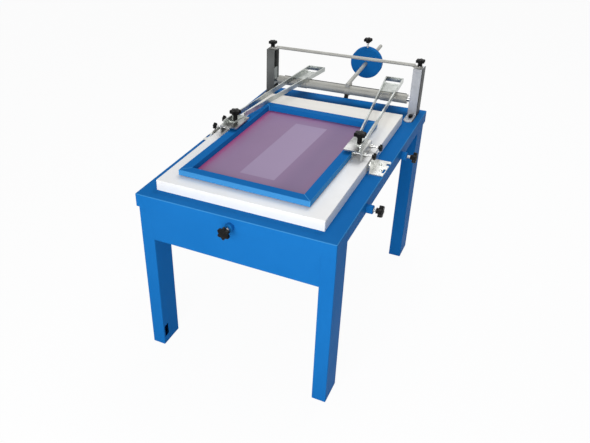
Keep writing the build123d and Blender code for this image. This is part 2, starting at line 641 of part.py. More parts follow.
def bar_between(rear, front):
    """A flat bar on edge from its rear end to its front end, both given as X, Y of its middle line."""
    dx, dy = front[0] - rear[0], front[1] - rear[1]
    length = math.hypot(dx, dy)
    heading = math.degrees(math.atan2(dy, dx))
    middle = ((rear[0] + front[0]) / 2, (rear[1] + front[1]) / 2)
    outline = Pos(*middle) * Rot(0, 0, heading) * Rectangle(length, BAR_THICK)
    bar = slab(outline, BAR_LOW, BAR_HIGH - BAR_LOW)
    nose = bar.edges().filter_by(lambda e: abs(e.tangent_at(0.5).Z) < 0.1 and e.length < 2 * BAR_THICK)
    nose = nose.group_by(Axis.Y)[0].sort_by(Axis.Z)[-1]
    return fillet(nose, 8)


def bar_x(rear_x, front, y):
    """Where a bar's middle line stands at a given Y."""
    share = (ARM_REAR_Y - y) / (ARM_REAR_Y - front[1])
    return rear_x + (front[0] - rear_x) * share


def between_bars(rear_x, y0, y1):
    """The plan outline between the two bars from Y to Y."""
    inner, outer = rear_x
    points = [(bar_x(inner, INNER_FRONT, y0), y0), (bar_x(outer, OUTER_FRONT, y0), y0),
              (bar_x(outer, OUTER_FRONT, y1), y1), (bar_x(inner, INNER_FRONT, y1), y1)]
    return make_face(Polyline(*points, close=True))


def arm(rear_x):
    """A right-hand arm: two flat bars on edge, joined by a rear plate, a saddle plate and a front tongue."""
    inner, outer = rear_x
    shape = bar_between((outer, ARM_REAR_Y), OUTER_FRONT)
    shape += bar_between((inner, ARM_REAR_Y), INNER_FRONT)
    shape += slab(between_bars(rear_x, ARM_REAR_Y - BAR_THICK, ARM_REAR_Y), BAR_LOW, BAR_HIGH - BAR_LOW)
    shape += slab(between_bars(rear_x, *SADDLE_PLATE_Y), BAR_LOW, ARM_PLATE)
    shape += slab(between_bars(rear_x, 540, INNER_FRONT[1]), BAR_LOW, ARM_PLATE)
    return shape - rod_z(BAR_LOW, BAR_HIGH, *CLAMP_STUD, 5 + FIT)


def saddle(x):
    """The block that carries an arm on the shaft: bored for the tube, notched for the guide bar."""
    body = block(x, SADDLE_Y, (AXIS_Z + 4, BAR_LOW))
    body += rod_x(*x, AXIS_Y, AXIS_Z, TUBE_R + STRAP)
    body += block(x, (AXIS_Y + 12, SADDLE_Y[1]), (AXIS_Z - 8, AXIS_Z + 6))
    body -= block(x, SADDLE_Y, (BAR_LOW, BAR_HIGH))
    body -= rod_x(*x, AXIS_Y, AXIS_Z, TUBE_R + FIT)
    return body - guide_bar(x[1] + 10, GUIDE_BAR + 0.8)


def clamp_bracket():
    """The folded bracket under an arm's end: a top over the screen's rail and a flange for the side screws."""
    x0, x1 = BRACKET_X
    top = BAR_LOW
    outline = Polyline((x0, top), (x1, top), (x1, top - BRACKET_DROP), (x1 - BRACKET_SHEET, top - BRACKET_DROP),
                       (x1 - BRACKET_SHEET, top - BRACKET_SHEET), (x0, top - BRACKET_SHEET), close=True)
    section = Plane((0, BRACKET_Y[1], 0), x_dir=(1, 0, 0), z_dir=(0, -1, 0)).location * make_face(outline)
    shape = extrude(section, BRACKET_Y[1] - BRACKET_Y[0], dir=(0, -1, 0))
    bend = shape.edges().filter_by(Axis.Y).sort_by_distance((x1, PAD_Y, top))[0]
    shape = fillet(bend, 4)
    corners = shape.edges().filter_by(Axis.Z).group_by(Axis.X)[0]
    shape = fillet(corners, 5)
    for y in SIDE_SCREWS_Y:
        shape += rod_x(x1, x1 + BUSH, y, SIDE_SCREW_HEIGHT, BUSH_R)
        shape -= rod_x(x1 - BRACKET_SHEET, x1 + BUSH, y, SIDE_SCREW_HEIGHT, SIDE_SCREW_R + FIT)
    return shape - rod_z(top - BRACKET_SHEET, top, *CLAMP_STUD, 5 + FIT)


def clamp_knob():
    """The large star knob on its stud, which clamps the bracket to the arm."""
    base = BAR_LOW + ARM_PLATE + 0.3
    knob = Pos(*CLAMP_STUD, base) * star_knob(24, 16, 9.5, CLAMP_HUB)
    return knob + rod_z(BAR_LOW - BRACKET_SHEET - 2, base, *CLAMP_STUD, 5)


def screen_side(y, side):
    """X of the screen frame's outer face beside a given Y; the frame is turned a little."""
    turn = math.radians(SCREEN_TURN)
    half = side * SCREEN_W / 2
    along = (y - SCREEN_CENTRE[1] - half * math.sin(turn)) / math.cos(turn)
    return SCREEN_CENTRE[0] + half * math.cos(turn) - along * math.sin(turn)


def pad_x(side):
    """X of a pressure pad's middle: beside the screen's rail, less the gap."""
    return screen_side(PAD_Y, side) + side * (PAD_GAP + PAD[0] / 2)


def pressure_pad(side):
    """The bar that the side screws press on the screen's rail, with a socket for each screw."""
    low = SIDE_SCREW_HEIGHT - PAD[2] / 2
    outline = Pos(pad_x(side), PAD_Y) * Rot(0, 0, SCREEN_TURN) * RectangleRounded(PAD[0], PAD[1], 2)
    pad = slab(outline, low, PAD[2])
    for y in SIDE_SCREWS_Y:
        start = screen_side(y, side) + side * (PAD_GAP + PAD[0] / 2)
        pad -= rod_x(*sorted((start, start + side * PAD[0])), y, SIDE_SCREW_HEIGHT, SIDE_SCREW_R + 0.1)
    return pad


def pad_screw(y, side):
    """A small knob on its screw: the screw's end turns in the pad."""
    tip = screen_side(y, side) + side * (PAD_GAP + PAD[0] / 2 + 0.3)
    knob_at = side * 325.0
    screw = rod_x(*sorted((tip, knob_at)), y, SIDE_SCREW_HEIGHT, SIDE_SCREW_R)
    return screw + facing(star_knob(14, 10, 7, 5), (knob_at, y, SIDE_SCREW_HEIGHT), (side, 0, 0))


save("right_arm", arm(RIGHT_REAR_X))
save("left_arm", mirrored(arm(LEFT_REAR_X)))
save("right_saddle", saddle(RIGHT_SADDLE_X))
save("left_saddle", mirrored(saddle(LEFT_SADDLE_X)))
save("right_clamp_bracket", clamp_bracket())
save("left_clamp_bracket", mirrored(clamp_bracket()))
save("right_clamp_knob", clamp_knob())
save("left_clamp_knob", mirrored(clamp_knob()))
for name, side in (("right", 1), ("left", -1)):
    save(f"{name}_pressure_pad", pressure_pad(side))
    for place, y in zip(("front", "rear"), SIDE_SCREWS_Y):
        save(f"{name}_{place}_pad_screw", pad_screw(y, side))

# ---- Screen ------------------------------------------------------------------------------------------
SCREEN_AT = Pos(*SCREEN_CENTRE, 0) * Rot(0, 0, SCREEN_TURN)


def rail(length, offset, turn):
    """A square tube rail, mitred at 45 degrees at both ends; its cavity is open at the mitres."""
    def trapezium(inset):
        outer, inner = length / 2 - inset, length / 2 - RAIL_W + inset
        low, high = -offset + inset, -offset + RAIL_W - inset
        return make_face(Polyline((-outer, low), (outer, low), (inner, high), (-inner, high), close=True))

    bottom = MESH_Z + MESH_THICK
    tube = slab(trapezium(0), bottom, SCREEN_TOP - bottom)
    long_edges = tube.edges().filter_by(Axis.X).group_by(Axis.Y)[0]
    tube = fillet(long_edges, 2)
    tube -= slab(trapezium(RAIL_WALL), bottom + RAIL_WALL, SCREEN_TOP - bottom - 2 * RAIL_WALL)
    return SCREEN_AT * Rot(0, 0, turn) * tube


mesh_outline = RectangleRounded(SCREEN_W - 12, SCREEN_L - 12, 4)
save("screen_rail_front", rail(SCREEN_W, SCREEN_L / 2, 0))
save("screen_rail_rear", rail(SCREEN_W, SCREEN_L / 2, 180))
save("screen_rail_right", rail(SCREEN_L, SCREEN_W / 2, 90))
save("screen_rail_left", rail(SCREEN_L, SCREEN_W / 2, -90))
save("screen_mesh", SCREEN_AT * slab(mesh_outline, MESH_Z, MESH_THICK))
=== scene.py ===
# %% [markdown]
# # A screen printing table
#
# The real object is a blue steel table for hand screen printing. A white print board lies on it,
# and a framed screen hangs over the board on two zinc-plated arms. The arms are clamped to a shaft
# between two uprights, and a counterweight on a rod balances them.
#
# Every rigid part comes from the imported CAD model, which is the fixed frame here. This lesson
# gives those parts their finishes, models the moulded knobs, the threaded studs, the weld beads
# and the screen's mesh in more detail than the CAD has, and sets up a plain studio. Lengths are in
# metres. X points to the table's right, Y to its rear and Z up.

# %% The fixed frame
import json
import math

import bpy
from mathutils import Matrix, Vector


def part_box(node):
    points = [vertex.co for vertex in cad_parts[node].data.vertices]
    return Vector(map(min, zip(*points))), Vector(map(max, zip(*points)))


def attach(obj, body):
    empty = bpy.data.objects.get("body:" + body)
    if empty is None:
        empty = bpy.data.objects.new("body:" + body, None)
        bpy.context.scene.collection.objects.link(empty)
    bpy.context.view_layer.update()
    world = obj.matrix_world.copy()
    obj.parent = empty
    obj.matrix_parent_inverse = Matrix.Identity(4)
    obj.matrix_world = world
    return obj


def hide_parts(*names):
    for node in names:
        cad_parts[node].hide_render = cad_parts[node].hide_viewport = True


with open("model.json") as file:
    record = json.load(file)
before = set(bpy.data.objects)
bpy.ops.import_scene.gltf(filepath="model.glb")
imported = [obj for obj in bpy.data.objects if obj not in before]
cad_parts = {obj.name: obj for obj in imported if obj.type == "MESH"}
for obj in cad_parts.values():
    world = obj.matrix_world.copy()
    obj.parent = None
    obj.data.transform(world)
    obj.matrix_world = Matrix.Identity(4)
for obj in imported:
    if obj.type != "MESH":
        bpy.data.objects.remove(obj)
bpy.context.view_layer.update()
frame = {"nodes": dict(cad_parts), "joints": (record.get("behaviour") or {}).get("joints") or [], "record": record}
joint_axis = {joint["name"]: Vector(joint["axis"]) for joint in frame["joints"]}

# %% [markdown]
# ## The camera
#
# The photograph was taken from above the table's front right corner. The place, the angles and the
# focal length below were fitted to the table's edges, so that the edges of the model fall on those
# in the picture. The camera also rolls a little. Its matrix is written from three directions: to
# the right of the picture, up the picture, and back towards the photographer.

# %% Place the camera
CAMERA_AT = Vector((0.8401, -2.3816, 1.8575))
AZIMUTH, ELEVATION, ROLL = math.radians(28.942), math.radians(32.248), math.radians(-1.844)
FOCAL_LENGTH = 39.391
SHIFT_X, SHIFT_Y = 0.1196, -0.0036

back = Vector((math.sin(AZIMUTH) * math.cos(ELEVATION),
               -math.cos(AZIMUTH) * math.cos(ELEVATION),
               math.sin(ELEVATION)))
level = Vector((0, 0, 1)).cross(back).normalized()
upward = back.cross(level)
right = level * math.cos(ROLL) + upward * math.sin(ROLL)
up = upward * math.cos(ROLL) - level * math.sin(ROLL)

bpy.ops.object.camera_add(location=CAMERA_AT)
camera = bpy.context.object
camera.name = "photo_camera"
facing = Matrix((right, up, back)).transposed().to_4x4()
camera.matrix_world = Matrix.Translation(CAMERA_AT) @ facing
camera.data.lens = FOCAL_LENGTH
camera.data.shift_x = SHIFT_X
camera.data.shift_y = SHIFT_Y
bpy.context.scene.camera = camera
print("camera at", [round(value, 3) for value in CAMERA_AT])

# %% [markdown]
# ## Light
#
# Product photographs like this one use large soft lights. The table's front is the brightest side,
# its top is a little darker and its right side is in shade, so the main light stands low in front
# of the table, and a weaker one hangs overhead. The world adds an even light from all round.
#
# The picture's background is white paper. The world and the floor show white to the camera and in
# reflections, through Light Path, so the white doesn't put more light on the object.

# %% Two soft lights
def soft_light(name, place, aim, width, power):
    """A square soft light that faces a point."""
    bpy.ops.object.light_add(type="AREA", location=place)
    lamp = bpy.context.object
    lamp.name = name
    lamp.data.size = width
    lamp.data.energy = power
    lamp.rotation_mode = "QUATERNION"
    lamp.rotation_quaternion = (Vector(place) - Vector(aim)).to_track_quat("Z", "Y")


soft_light("front_softbox", place=(0.30, -3.1, 1.5), aim=(0, 0, 0.6), width=1.4, power=62)
soft_light("overhead_softbox", place=(0.1, 1.4, 3.2), aim=(0, 0.2, 0.7), width=1.8, power=44)
bpy.context.scene.view_settings.view_transform = "Standard"

# %% [markdown]
# ## Nodes as sums
#
# Shader nodes are easier to read as expressions. `Wire` wraps one output socket, and its operators
# add Math nodes, so `1 - mask` is a node too. `Finish` is one material. Its `node` method adds any
# other kind of node: the settings come first, then the values or wires of its sockets.

# %% A wire
class Wire:
    """An output socket that can be added, subtracted and multiplied."""

    def __init__(self, finish, socket):
        self.finish, self.socket = finish, socket

    def math(self, operation, first, second=0.0):
        return self.finish.node("ShaderNodeMath", {"operation": operation}, {0: first, 1: second})

    def __add__(self, other):
        return self.math("ADD", self, other)

    def __sub__(self, other):
        return self.math("SUBTRACT", self, other)

    def __rsub__(self, other):
        return self.math("SUBTRACT", other, self)

    def __mul__(self, other):
        return self.math("MULTIPLY", self, other)

    def __abs__(self):
        return self.math("ABSOLUTE", self)

    def below(self, other):
        """The lower of two values."""
        return self.math("MINIMUM", self, other)

    def above(self, other):
        """The higher of two values."""
        return self.math("MAXIMUM", self, other)

    __radd__ = __add__
    __rmul__ = __mul__


print("wires ready")

# %% A finish
X, Y, Z = 0, 1, 2


class Finish:
    """A material: its shader's fixed values, and a method that adds any other node."""

    def __init__(self, name, **fixed):
        self.material = bpy.data.materials.new(name)
        self.material.use_nodes = True
        self.tree = self.material.node_tree
        self.shader = self.tree.nodes["Principled BSDF"]
        for socket, value in fixed.items():
            self.shader.inputs[socket.replace("_", " ")].default_value = value

    def node(self, kind, settings, inputs, output=0):
        made = self.tree.nodes.new(kind)
        for name, value in settings.items():
            setattr(made, name, value)
        for key, value in inputs.items():
            if isinstance(value, Wire):
                self.tree.links.new(value.socket, made.inputs[key])
            else:
                made.inputs[key].default_value = value
        return Wire(self, made.outputs[output])

    def feed(self, socket, wire):
        self.tree.links.new(wire.socket, self.shader.inputs[socket])

    def place(self, centre=(0, 0, 0), turn=0.0, stretch=(1, 1, 1)):
        """Object coordinates, moved to a centre, turned about Z and stretched."""
        spot = self.node("ShaderNodeTexCoord", {}, {}, "Object")
        spot = self.node("ShaderNodeMapping", {"vector_type": "TEXTURE"},
                         {"Vector": spot, "Location": centre, "Rotation": (0, 0, turn)})
        return self.node("ShaderNodeMapping", {"vector_type": "POINT"},
                         {"Vector": spot, "Scale": stretch})

    def along(self, axis, spot):
        """One coordinate of a place: X, Y or Z."""
        return self.node("ShaderNodeSeparateXYZ", {}, {0: spot}, axis)

    def noise(self, spot, scale, detail=3.0):
        return self.node("ShaderNodeTexNoise", {},
                         {"Vector": spot, "Scale": scale, "Detail": detail})

    def blend(self, factor, first, second):
        """A colour between two others, each three numbers or a wire."""
        colours = [colour if isinstance(colour, Wire) else (*colour, 1)
                   for colour in (first, second)]
        return self.node("ShaderNodeMix", {"data_type": "RGBA"},
                         {0: factor, 6: colours[0], 7: colours[1]}, 2)

    def ramp(self, value, low, high, start=0.0, end=1.0):
        """The value carried smoothly from the range low to high to the range start to end."""
        return self.node("ShaderNodeMapRange", {"interpolation_type": "SMOOTHSTEP"},
                         {0: value, 1: low, 2: high, 3: start, 4: end})

    def bump(self, height, distance, strength):
        wire = self.node("ShaderNodeBump", {},
                         {"Height": height, "Distance": distance, "Strength": strength})
        self.feed("Normal", wire)


print("ready to write finishes")

# %% [markdown]
# ## The white surroundings
#
# The paper behind and under the table is white all over, and only a faint shadow shows where the
# table stands on it. The floor is a pale matt surface whose picture is mostly its own even glow,
# which reaches the camera and reflections, and not the light on the object.

# %% The world
SKY, SKY_STRENGTH = (0.86, 0.90, 1.0, 1), 0.35


def white_to_the_camera(tree, lit, plain, place_output):
    """Shows plain to the camera and in reflections, and lit to every other ray."""
    path = tree.nodes.new("ShaderNodeLightPath")
    seen = path.outputs["Is Camera Ray"]
    for name in ("Is Glossy Ray", "Is Transmission Ray"):
        either = tree.nodes.new("ShaderNodeMath")
        either.operation = "MAXIMUM"
        tree.links.new(seen, either.inputs[0])
        tree.links.new(path.outputs[name], either.inputs[1])
        seen = either.outputs[0]
    mixed = tree.nodes.new("ShaderNodeMixShader")
    tree.links.new(seen, mixed.inputs[0])
    tree.links.new(lit, mixed.inputs[1])
    tree.links.new(plain, mixed.inputs[2])
    tree.links.new(mixed.outputs[0], place_output)


world = bpy.data.worlds.new("pale_room")
bpy.context.scene.world = world
world.use_nodes = True
room = world.node_tree
ambient = room.nodes["Background"]
ambient.inputs["Color"].default_value = SKY
ambient.inputs["Strength"].default_value = SKY_STRENGTH
backdrop = room.nodes.new("ShaderNodeBackground")
backdrop.inputs["Color"].default_value = (1, 1, 1, 1)
white_to_the_camera(room, ambient.outputs[0], backdrop.outputs[0],
                    room.nodes["World Output"].inputs["Surface"])
print("world:", world.name, "lights at", SKY_STRENGTH)

# %% The floor
FLOOR_SIZE = 16
PAPER, PAPER_ROUGHNESS, PAPER_GLOW = (0.86, 0.86, 0.86, 1), 0.9, 0.95

bpy.ops.mesh.primitive_plane_add(size=FLOOR_SIZE, location=(0, 0, 0))
floor = bpy.context.object
floor.name = "floor"
paper = Finish("white_paper", Base_Color=PAPER, Roughness=PAPER_ROUGHNESS)
glow = paper.tree.nodes.new("ShaderNodeEmission")
half_lit = paper.tree.nodes.new("ShaderNodeMixShader")
half_lit.inputs[0].default_value = PAPER_GLOW
paper.tree.links.new(paper.shader.outputs[0], half_lit.inputs[1])
paper.tree.links.new(glow.outputs[0], half_lit.inputs[2])
white_to_the_camera(paper.tree, paper.shader.outputs[0], half_lit.outputs[0],
                    paper.tree.nodes["Material Output"].inputs["Surface"])
floor.data.materials.append(paper.material)
print("floor and world are white to the camera")

# %% [markdown]
# ## Paint, plate and plastic
#
# The blue is a baked powder coat. It has a fine orange peel, a soft gloss, and a colour that
# wanders very slightly. A picture of paint could be wrapped round the steel, but it would show
# seams at the tubes' edges. Noise on object coordinates runs on from face to face. The bumps are a
# few millimetres wide and only some hundredths of a millimetre high.

# %% Blue powder coat
# The pale blue is a painted highlight, laid on where a part's marks say.
DEEP_BLUE, MID_BLUE, HIGHLIGHT_BLUE = (0.008, 0.137, 0.415), (0.012, 0.160, 0.462), (0.095, 0.38, 0.71)
PEEL_SCALE, PEEL_DEPTH = 420.0, 0.00010


def blue_powder_coat(name, marks=None):
    """The blue paint. Marks gives where a highlight is painted on it, and the depth of any groove."""
    paint = Finish(name, IOR=1.42, Specular_IOR_Level=0.008)
    spot = paint.place()
    blue = paint.blend(paint.noise(spot, 5.0, 4.0), DEEP_BLUE, MID_BLUE)
    height = paint.noise(spot, PEEL_SCALE, 2.0)
    if marks:
        pale, groove = marks(paint)
        blue = paint.blend(pale, blue, HIGHLIGHT_BLUE)
        height = height - groove
    paint.feed("Base Color", blue)
    paint.feed("Roughness", 0.30 + 0.16 * paint.noise(spot, 18.0, 5.0))
    paint.bump(height, PEEL_DEPTH, 0.35)
    return paint.material


finishes = {"blue_steel": blue_powder_coat("blue_powder_coat")}
print("finish:", finishes["blue_steel"].name)

# %% [markdown]
# Two parts show more in their paint. The screen's four rails are cut at 45 degrees and welded: the ground weld is
# a groove across each corner with a painted highlight along it, and a painted highlight runs along the rails'
# outer edges. The table top is one folded sheet, and its fold carries a thin painted highlight along the top's
# edges. Grooves in the mesh would need cuts in the CAD parts, which stay as they are, so both are drawn in the
# paint, from the distance to the part's outer edges.

# %% Paint with seams, folds and painted highlights
SCREEN_AT = Vector((-0.0345, -0.307259, 0.0))
SCREEN_TURN = math.radians(-1.0)
SCREEN_HALF = (0.254, 0.3555)
WELD_FADE, WELD_GROOVE = (0.0004, 0.0019), 4.0
RIM_WIDTH, RIM_HIGHLIGHT = 0.0022, 0.45
FOLD_FADE, FOLD_DROP, FOLD_HIGHLIGHT = (0.0018, 0.0034), (0.0030, 0.0018), 0.42


def insets(finish, centre, turn, half):
    """Distances to the sides and to the ends of a rectangle."""
    flat = finish.place(centre, turn)
    return [half[axis] - abs(finish.along(axis, flat)) for axis in (X, Y)]


def rail_weld_and_highlight(paint):
    # Painted highlight: a pale line across each corner's weld, over a real groove in the bump, and a pale rim
    # along the rails' outer edges.
    from_side, from_end = insets(paint, SCREEN_AT, SCREEN_TURN, SCREEN_HALF)
    weld = paint.ramp(abs(from_side - from_end), *WELD_FADE, 1.0, 0.0)
    rim = paint.ramp(from_side.below(from_end), 0.0, RIM_WIDTH, RIM_HIGHLIGHT, 0.0)
    return weld.above(rim), WELD_GROOVE * weld


def fold_highlight(paint):
    # Painted highlight: a thin pale line along the top's edges, where the rounded fold catches the light.
    low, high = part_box("table_top")
    from_side, from_end = insets(paint, (low + high) / 2, 0.0, (high - low) / 2)
    height = paint.along(Z, paint.place())
    near_top = paint.ramp(height, high.z - FOLD_DROP[0], high.z - FOLD_DROP[1])
    fold = paint.ramp(from_side.below(from_end), *FOLD_FADE, FOLD_HIGHLIGHT, 0.0)
    return fold * near_top, 0.0


rail_paint = blue_powder_coat("rail_powder_coat", rail_weld_and_highlight)
top_paint = blue_powder_coat("top_powder_coat", fold_highlight)
print("finishes:", rail_paint.name, top_paint.name)

# %% [markdown]
# The arms, brackets and uprights are zinc plated. Fresh plating is a bright, slightly blue grey
# metal with cloudy patches where it came out of the bath, and it keeps the fine lines of the drawn
# or rolled steel under it. Stretched noise gives such lines on every side of a bar, where a wave
# pattern would look combed. On the arms they run along the bars, which lie nearly along Y.

# %% Metals
ALONG_X, ALONG_Y, ALONG_Z, NO_GRAIN = (0.04, 1, 1), (1, 0.04, 1), (1, 1, 0.04), (1, 1, 1)
CLOUD_SCALE, LINE_SCALE, LINE_DEPTH = 14.0, 900.0, 0.00002


def metal(name, dark, light, rough, grain=NO_GRAIN, metallic=1.0, outer=None):
    """A metal whose tone drifts in clouds, with fine lines. Rough is the range of its roughness.
    Outer is an X past which the metal is painted darker as shade, and that shade's tone."""
    plate = Finish(name, Metallic=metallic)
    clouds = plate.noise(plate.place(), CLOUD_SCALE, 6.0)
    lines = plate.noise(plate.place(stretch=grain), LINE_SCALE, 2.0)
    tone = plate.ramp(0.7 * clouds + 0.3 * lines, 0.3, 0.7)
    colour = plate.blend(tone, dark, light)
    if outer:
        edge, shade_tone = outer
        # Painted shade: past this X the colour turns to the shade's tone.
        in_shade = plate.ramp(plate.along(X, plate.place()), edge - 0.0006, edge - 0.0002)
        colour = plate.blend(in_shade, colour, shade_tone)
    plate.feed("Base Color", colour)
    plate.feed("Roughness", plate.ramp(clouds, 0.25, 0.75, *rough))
    plate.bump(lines, LINE_DEPTH, 0.6)
    return plate.material


finishes["zinc_steel"] = metal("zinc_plate", (0.34, 0.36, 0.345), (0.64, 0.66, 0.63),
                               (0.24, 0.42), ALONG_Y)
finishes["bright_steel"] = metal("turned_steel", (0.42, 0.42, 0.42), (0.62, 0.62, 0.61),
                                 (0.22, 0.34))
finishes["dark_steel"] = metal("blackened_steel", (0.010, 0.010, 0.011), (0.035, 0.035, 0.035),
                               (0.35, 0.55))
finishes["satin_tube"] = metal("satin_tube", (0.31, 0.304, 0.274), (0.39, 0.384, 0.348),
                               (0.48, 0.62), ALONG_X, 0.25)
finishes["bronze"] = metal("turned_bronze", (0.42, 0.26, 0.11), (0.60, 0.42, 0.20), (0.25, 0.40))
print("metals:", [name for name in finishes if name != "blue_steel"])

# %% [markdown]
# Some zinc parts have a tone of their own, unlike the arms. The clamps and the side brackets are new and pale, and
# the rods are satin. The right upright is dull, with its outer side painted darker as shade; the left upright is
# painted darker all over as shade, and the guide bar nearly black as a shadow line. Where the plating has dulled,
# the surface is oxide, which is only partly metallic.

# %% Parts with a tone of their own
# Painted shade starts 3 mm inside the right upright's outer side.
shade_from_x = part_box("right_upright")[1].x - 0.003
bright_plate = metal("bright_zinc", (0.50, 0.51, 0.49), (0.80, 0.80, 0.77), (0.20, 0.38), ALONG_X)
clamp_plate = metal("clamp_zinc", (0.25, 0.26, 0.255), (0.54, 0.54, 0.53), (0.22, 0.40), ALONG_X)
# Painted shade: the left upright is a darker copy of the uprights' dull zinc.
shaded_plate = metal("shaded_zinc", (0.085, 0.088, 0.085), (0.14, 0.144, 0.14),
                     (0.45, 0.60), ALONG_Z, 0.6)
rod_finish = metal("rod_zinc", (0.33, 0.325, 0.295), (0.45, 0.445, 0.41),
                   (0.45, 0.60), ALONG_X, 0.35)
# The right upright's zinc, with its outer side painted darker as shade.
dull_plate = metal("dull_zinc", (0.35, 0.36, 0.375), (0.53, 0.54, 0.57), (0.45, 0.60), ALONG_Z,
                   outer=(shade_from_x, (0.055, 0.058, 0.062)))
# Painted shade: the guide bar is nearly black, standing for the shadow line along the tube's top.
shadow_bar_plate = metal("bar_shadow_zinc", (0.055, 0.055, 0.052), (0.10, 0.10, 0.095),
                  (0.45, 0.60), ALONG_X, 0.2)
block_plate = metal("block_zinc", (0.14, 0.16, 0.155), (0.25, 0.27, 0.265),
                    (0.35, 0.50), metallic=0.8)
own_finish = {
    "left_upright": shaded_plate, "right_upright": dull_plate,
    "guide_bar": shadow_bar_plate, "left_bearing_block": block_plate,
    "tie_rod": rod_finish, "weight_rod": rod_finish,
    "rod_hub": finishes["satin_tube"],
    "left_saddle": finishes["satin_tube"], "right_saddle": finishes["satin_tube"],
    "left_side_bracket": bright_plate, "right_side_bracket": bright_plate,
    "left_clamp_bracket": clamp_plate, "right_clamp_bracket": clamp_plate,
    "table_top": top_paint,
    "screen_rail_left": rail_paint, "screen_rail_right": rail_paint,
    "screen_rail_front": rail_paint, "screen_rail_rear": rail_paint,
}
print("parts with their own tone:", len(own_finish))

# %% [markdown]
# The print board is faced with white laminate. It is almost plain, so its life comes from a very
# fine texture and a faint warmth, with a trace of grey where sheets have been laid and lifted. Its
# rear end, behind the screen, has yellowed a little. One wide noise gives both the grey and the
# duller shine, because wear changes the two together.

# %% White laminate
FRESH_WHITE, WORN_WHITE = (0.91, 0.90, 0.875), (0.875, 0.862, 0.83)
AGED_WHITE, AGED_FROM, AGED_TO = (0.905, 0.870, 0.795), 0.0, 0.11
WEAR_SCALE, FACING_SCALE, FACING_DEPTH = 7.0, 700.0, 0.00006


def white_laminate():
    board = Finish("white_laminate", IOR=1.5, Specular_IOR_Level=0.8)
    spot = board.place()
    wear = board.ramp(board.noise(spot, WEAR_SCALE, 6.0), 0.35, 0.7)
    white = board.blend(wear, FRESH_WHITE, WORN_WHITE)
    aged = board.ramp(board.along(Y, spot) + 0.02 * wear, AGED_FROM, AGED_TO)
    board.feed("Base Color", board.blend(aged, white, AGED_WHITE))
    board.feed("Roughness", 0.38 + 0.16 * wear)
    board.bump(board.noise(spot, FACING_SCALE, 2.0), FACING_DEPTH, 0.4)
    return board.material


finishes["white_board"] = white_laminate()
print("finish:", finishes["white_board"].name)

# %% [markdown]
# The star knobs are black moulded plastic: dark but not pure black, with the slight grain of the
# mould and a soft shine. Where hands have polished it, the colour and the shine drift a little.

# %% Black moulded plastic
MOULDED_BLACK, HANDLED_BLACK = (0.003, 0.003, 0.0035), (0.010, 0.010, 0.0095)
HANDLED_SCALE, MOULD_SCALE, MOULD_DEPTH = 60.0, 1500.0, 0.00004


def black_plastic():
    plastic = Finish("black_plastic", IOR=1.5, Specular_IOR_Level=0.09)
    spot = plastic.place()
    handled = plastic.noise(spot, HANDLED_SCALE, 4.0)
    plastic.feed("Base Color", plastic.blend(handled, MOULDED_BLACK, HANDLED_BLACK))
    plastic.feed("Roughness", 0.28 + 0.20 * handled)
    plastic.bump(plastic.noise(spot, MOULD_SCALE, 2.0), MOULD_DEPTH, 0.4)
    return plastic.material


finishes["black_plastic"] = black_plastic()
print("finish:", finishes["black_plastic"].name)

# %% [markdown]
# The screen's mesh is fine polyester cloth with a violet coating, which is thicker and darker on
# the right. In a band along the frame it is almost magenta, and a plain paler panel lies in the
# middle, where the coating is thinnest. Nobody models threads this fine: two crossed waves in the
# bump are enough. The bands are painted by distance from the frame's inner edge, so they need no
# picture. The pattern is turned with the screen, which was clamped one degree askew.

# %% The band and the panel
RAIL_WIDTH = 0.036
OPEN_HALF = (SCREEN_HALF[0] - RAIL_WIDTH, SCREEN_HALF[1] - RAIL_WIDTH)
PANEL_LOW, PANEL_HIGH = (-0.062, -0.241), (0.076, 0.243)
PANEL_LEAN = 0.022


def magenta_band(cloth, spot, across, along):
    """How magenta the coating is: strong at the frame on the left, faint elsewhere along it."""
    inset = (OPEN_HALF[0] - abs(across)).below(OPEN_HALF[1] - abs(along))
    ragged = cloth.noise(spot, 30.0, 3.0)
    narrower = cloth.ramp(across, -0.20, 0.0)
    rim = cloth.ramp(inset + 0.010 * ragged + 0.02 * narrower, 0.004, 0.042, 1.0, 0.0)
    faint = cloth.ramp(inset + 0.02 * ragged, 0.0, 0.075, 0.42, 0.0)
    return rim.above(faint * cloth.ramp(across, -0.10, 0.20, 1.0, 0.25))


def pale_panel(cloth, across, along):
    """One inside the leaning panel in the middle, and zero outside."""
    leaning = across - PANEL_LEAN * along
    beside = (leaning - PANEL_LOW[0]).below(PANEL_HIGH[0] - leaning)
    within = beside.below((along - PANEL_LOW[1]).below(PANEL_HIGH[1] - along))
    return cloth.ramp(within, -0.001, 0.003)


print("the screen's opening:", [round(2 * half, 3) for half in OPEN_HALF])

# %% Coated mesh
THIN_VIOLET, MID_VIOLET = (0.278, 0.172, 0.310), (0.225, 0.130, 0.248)
THICK_VIOLET, THICK_FROM, THICK_TO = (0.182, 0.106, 0.222), 0.03, 0.14
PANEL_VIOLET, BAND_MAGENTA = (0.322, 0.232, 0.374), (0.375, 0.056, 0.194)
WEAVE_SCALE, WEAVE_DEPTH = 500.0, 0.00003


def weave(cloth, spot, direction):
    return cloth.node("ShaderNodeTexWave", {"wave_type": "BANDS", "bands_direction": direction},
                      {"Vector": spot, "Scale": WEAVE_SCALE})


